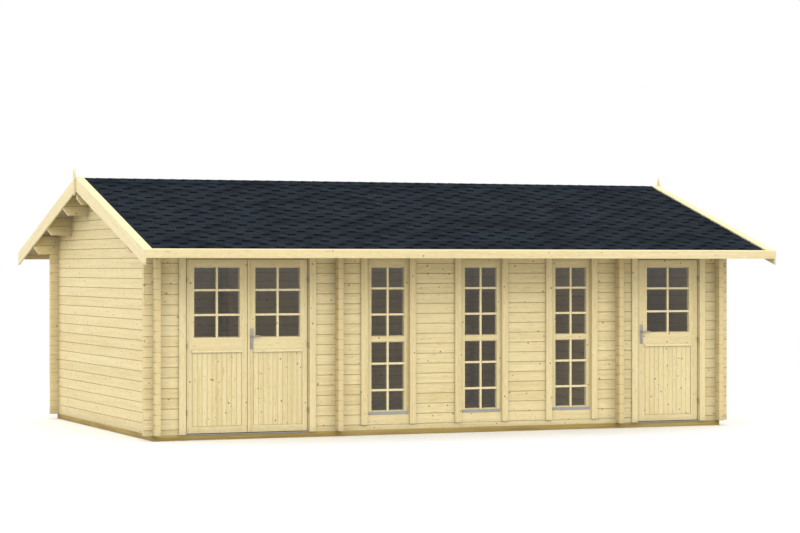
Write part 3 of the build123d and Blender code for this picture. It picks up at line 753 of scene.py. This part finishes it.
# A moulding over each sunk panel, sloping to shed water. Its profile is in pairs, out from the leaf and up
MOULDING = (
    (0.0, -0.003), (0.0150, -0.003), (0.0165, -0.0015), (0.0165, 0.0125),
    (0.0150, 0.0150), (0.0070, 0.0230), (0.0, 0.0280),
)
MOULDING_SEAT = 0.001
for name, (centre, _, panel_w) in LEAVES.items():
    moulding = Piece()
    half = panel_w / 2 + MOULDING_SEAT
    ring_loft(moulding, [
        [(x, LEAF_Y[0] + MOULDING_SEAT - out, PANEL_Z[1] + up) for out, up in MOULDING]
        for x in (centre - half, centre + half)
    ])
    moulding.make(name + "_moulding", name + "_leaf", "board", bar_wood)

# Matched boards in the sunk panels of the doors, on both faces
BOARD_COUNT = 10
BOARD_T = 0.0038
BOARD_BEVEL = 0.0026
BOARD_PLAY = 0.0003
PANEL_EDGE = 0.005
for index, (name, (centre, _, panel_w)) in enumerate(LEAVES.items()):
    boards = Piece()
    start = centre - panel_w / 2 + PANEL_EDGE
    step = (panel_w - 2 * PANEL_EDGE) / BOARD_COUNT
    for face, out in ((LEAF_Y[0] + PANEL_DEPTH, -1), (LEAF_Y[1] - PANEL_DEPTH, 1)):
        y_low, y_high = sorted((face, face + out * BOARD_T))
        for board in range(BOARD_COUNT):
            left, right = start + board * step, start + (board + 1) * step
            low = (left + BOARD_PLAY, y_low, PANEL_Z[0] + PANEL_EDGE)
            boards.box(low, (right - BOARD_PLAY, y_high, PANEL_Z[1]), BOARD_BEVEL, 2)
    panel_wood = wood(name + "_panel_wood", "Z", "X", step, start, seam=0.12, knots=0.45, shift=80.0 + index)
    boards.make(name + "_boards", name + "_leaf", "board", panel_wood)

# Door furniture. Plates, bosses and heads are given by stages, as pairs of a height over the leaf and an
# inset, and by half their width, half their height and the radius of their corners
PLATE_T = 0.004
PLATE = (0.020, 0.0075)
PLATE_STAGES = ((0.0, 0.0), (PLATE_T - 0.0014, 0.0), (PLATE_T - 0.0004, 0.0006), (PLATE_T, 0.0018))
LOCK_AT = -0.042
LOCK = (0.0105, 0.0185, 0.0104)
LOCK_STAGES = ((PLATE_T - 0.001, 0.0), (PLATE_T + 0.0012, 0.0), (PLATE_T + 0.0018, 0.0008))
KEYWAY_UP = 0.007
KEYWAY = (0.0078, 0.0011, PLATE_T + 0.0014, PLATE_T + 0.0034)
SCREW_AT = 0.098
SCREW = (0.0040, 0.0005, PLATE_T - 0.0004, PLATE_T + 0.0008)
SCREW_TURNS = {1: 0.5, -1: 1.9}
LEVER_AT = 0.032
ROSE_R = 0.0105
ROSE_STAGES = ((PLATE_T - 0.001, 0.0), (PLATE_T + 0.004, 0.0), (PLATE_T + 0.006, 0.0018))
NECK = (0.0078, 0.0078, 0.0077)
NECK_STAGES = ((PLATE_T, 0.0), (0.040, 0.0))
NEAR_ROUND = 0.98
LEAST_RADIUS = 0.0004
CORNER_STEPS = 5
DISC_STEPS = 12
LEVER_SIDES = 20
LEVER_SQUARE = 0.75


def rounded_outline(half_w, half_h, radius):
    """Points round a rectangle with round corners, as pairs."""
    points = []
    for quarter, (sign_w, sign_h) in enumerate(((1, 1), (-1, 1), (-1, -1), (1, -1))):
        for i in range(CORNER_STEPS + 1):
            angle = math.pi / 2 * (quarter + i / CORNER_STEPS)
            points.append((
                sign_w * (half_w - radius) + radius * math.cos(angle),
                sign_h * (half_h - radius) + radius * math.sin(angle),
            ))
    return points


def raised(piece, spot, stages, half_w, half_h, radius):
    """A rounded plate or boss on a leaf's face. A spot is x, z, the face's y and which way is out."""
    x, z, face, out = spot
    rings = []
    for height, inset in stages:
        outline = rounded_outline(half_w - inset, half_h - inset, max(radius - inset, LEAST_RADIUS))
        rings.append([(x + a, face + out * height, z + b) for a, b in outline])
    ring_loft(piece, rings)


def half_disc(piece, spot, head, turn, side):
    """Half of a round head beside its slot. A head is its radius, half its slot, and two heights."""
    x, z, face, out = spot
    radius, gap, low, high = head
    straight = math.sqrt(radius ** 2 - gap ** 2)
    points = [(side * gap, straight), (side * gap, -straight)]
    start = math.asin(gap / radius)
    for i in range(1, DISC_STEPS):
        angle = -math.pi / 2 + start + (math.pi - 2 * start) * i / DISC_STEPS
        points.append((side * radius * math.cos(angle), radius * math.sin(angle)))
    cos, sin = math.cos(turn), math.sin(turn)
    turned = [(a * cos - b * sin, a * sin + b * cos) for a, b in points]
    ring_loft(piece, [[(x + a, face + out * height, z + b) for a, b in turned] for height in (low, high)])


def slotted(piece, spot, head, turn):
    """A round head cut by a slot."""
    radius, _, low, _ = head
    raised(piece, spot, ((low - 0.001, 0.0), (low + 0.0003, 0.0)), radius, radius, radius * NEAR_ROUND)
    for side in (-1, 1):
        half_disc(piece, spot, head, turn, side)


def lever(piece, spot, far):
    """A lever with a round neck, turned along the leaf and easing back towards it."""
    x, z, face, out = spot
    raised(piece, spot, ROSE_STAGES, ROSE_R, ROSE_R, ROSE_R * NEAR_ROUND)
    raised(piece, spot, NECK_STAGES, *NECK)
    # Each section is a way along the leaf, a way off it, half the height and half the thickness
    sections = (
        (-0.009, 0.0404, 0.0045, 0.0020), (-0.007, 0.0406, 0.0072, 0.0038), (-0.003, 0.0408, 0.0086, 0.0048),
        (0.010, 0.0409, 0.0088, 0.0050), (0.030, 0.0409, 0.0084, 0.0048), (0.050, 0.0405, 0.0080, 0.0046),
        (0.066, 0.0396, 0.0078, 0.0045), (0.080, 0.0380, 0.0078, 0.0044), (far - 0.005, 0.0364, 0.0076, 0.0042),
        (far - 0.0015, 0.0358, 0.0062, 0.0032), (far, 0.0356, 0.0036, 0.0016),
    )
    rings = []
    for along, stand, half_h, half_t in sections:
        ring = []
        for i in range(LEVER_SIDES):
            sin, cos = math.sin(math.tau * i / LEVER_SIDES), math.cos(math.tau * i / LEVER_SIDES)
            up = half_h * math.copysign(abs(sin) ** LEVER_SQUARE, sin)
            through = half_t * math.copysign(abs(cos) ** LEVER_SQUARE, cos)
            ring.append((x + along, face + out * (stand + through), z + up))
        rings.append(ring)
    ring_loft(piece, rings)


def furniture(node, body):
    """Long plates with levers, locks and screws on both faces of a leaf."""
    (x_low, _, z_low), (x_high, _, z_high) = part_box(node)
    half_w, corner = PLATE
    x, z = x_low + half_w, (z_low + z_high) / 2
    plates, grips = Piece(), Piece()
    for face, out in ((LEAF_Y[0], -1), (LEAF_Y[1], 1)):
        raised(plates, (x, z, face, out), PLATE_STAGES, half_w, (z_high - z_low) / 2, corner)
        raised(plates, (x, z + LOCK_AT, face, out), LOCK_STAGES, *LOCK)
        slotted(grips, (x, z + LOCK_AT + KEYWAY_UP, face, out), KEYWAY, 0.0)
        for sign, turn in SCREW_TURNS.items():
            slotted(grips, (x, z + sign * SCREW_AT, face, out), SCREW, turn)
        lever(grips, (x, z + LEVER_AT, face, out), x_high - x)
    plates.make(node + "_plates", body, "steel", plate_metal, replaces=[node], smooth=True)
    grips.make(node + "_levers", body, "steel", lever_metal, smooth=True)


furniture("double_door_handle", "double_door_right_leaf")
furniture("single_door_handle", "single_door_leaf")

# Cover strip over the edge of the leaf that closes last, with rounded edges, reaching over the gap
STRIP_W = 0.026
STRIP_OVER = 0.0055
STRIP_EDGE = ((0.0, 0.0), (0.0, 0.0065), (0.0008, 0.0085), (0.0030, 0.0095))
(strip_low, _, leaf_low), (_, _, leaf_high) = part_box("double_door_right")
profile = [*STRIP_EDGE, *[(STRIP_W - x, out) for x, out in reversed(STRIP_EDGE)]]
strip = Piece()
ring_loft(strip, [
    [(strip_low - STRIP_OVER + x, LEAF_Y[0] - out, z) for x, out in profile] for z in (leaf_low, leaf_high)
])
strip.make("double_door_cover_strip", "double_door_right_leaf", "board", leaf_wood["double_door_right"])

# Stage, world and lamps. The floor turns into plain white between the two distances of its fade
WORLD_LIGHT = 1.22
LEFT_LEVEL = 0.10
FRONT_LEVEL = 0.14
FLOOR_R = 150
FLOOR_SIDES = 96
FLOOR_FADE = (7.0, 16.0)
FLOOR_DARK = (0.50, 0.50, 0.50, 1.0)
FLOOR_LIGHT = (0.53, 0.53, 0.53, 1.0)


def stage_floor():
    """A round floor, white where the camera or glass shows it, and grey in the light that it gives back."""
    data = bpy.data.meshes.new("stage_floor")
    angles = [math.tau * i / FLOOR_SIDES for i in range(FLOOR_SIDES)]
    ring = [(FLOOR_R * math.cos(angle), FLOOR_R * math.sin(angle), 0.0) for angle in angles]
    data.from_pydata(ring, [], [list(range(FLOOR_SIDES))])
    floor = bpy.data.objects.new("stage_floor", data)
    bpy.context.scene.collection.objects.link(floor)
    n = Nodes("stage_floor")
    x, y, _ = n.place()
    path = n.add("ShaderNodeLightPath")
    seen = n.math("MAXIMUM", path.outputs["Is Camera Ray"], path.outputs["Is Transmission Ray"])
    mottle = n.noise(n.vector(x, y, 0.0), 2.0, 0.5, 0.0, 0.6)
    plain = n.mix(n.ramp(mottle, 0.3, 0.7), FLOOR_DARK, FLOOR_LIGHT)
    matt = n.add("ShaderNodeBsdfDiffuse")
    n.put(matt.inputs["Color"], n.mix(seen, plain, WHITE))
    white = n.add("ShaderNodeEmission")
    white.inputs["Strength"].default_value = 1.0
    fade = n.product(seen, n.ramp(n.length(x, y), *FLOOR_FADE))
    data.materials.append(n.done(n.mixed(fade, matt.outputs[0], white.outputs[0])))


def white_world():
    """An even world light, which is plain white where it is seen, also in metal and through glass."""
    world = bpy.data.worlds.new("world")
    world.use_nodes = True
    tree = world.node_tree
    tree.nodes.clear()
    path = tree.nodes.new("ShaderNodeLightPath")
    shown = path.outputs["Is Camera Ray"]
    for name in ("Is Glossy Ray", "Is Transmission Ray"):
        most = tree.nodes.new("ShaderNodeMath")
        most.operation = "MAXIMUM"
        tree.links.new(shown, most.inputs[0])
        tree.links.new(path.outputs[name], most.inputs[1])
        shown = most.outputs[0]
    level = tree.nodes.new("ShaderNodeMapRange")
    level.inputs["To Min"].default_value = WORLD_LIGHT
    level.inputs["To Max"].default_value = 1.0
    tree.links.new(shown, level.inputs["Value"])
    background = tree.nodes.new("ShaderNodeBackground")
    background.inputs["Color"].default_value = WHITE
    tree.links.new(level.outputs["Result"], background.inputs["Strength"])
    output = tree.nodes.new("ShaderNodeOutputWorld")
    tree.links.new(background.outputs[0], output.inputs["Surface"])
    bpy.context.scene.world = world


def sun(name, toward, level, spread):
    """A soft lamp far off. At level 1 a white surface square to it renders white."""
    data = bpy.data.lights.new(name, "SUN")
    data.energy = level * math.pi
    data.angle = math.radians(spread)
    lamp = bpy.data.objects.new(name, data)
    lamp.rotation_euler = Vector(toward).to_track_quat("Z", "Y").to_euler()
    bpy.context.scene.collection.objects.link(lamp)


stage_floor()
white_world()
sun("left", (-0.85, -0.20, 0.45), LEFT_LEVEL, 40)
sun("front", (-0.12, -0.87, 0.48), FRONT_LEVEL, 24)
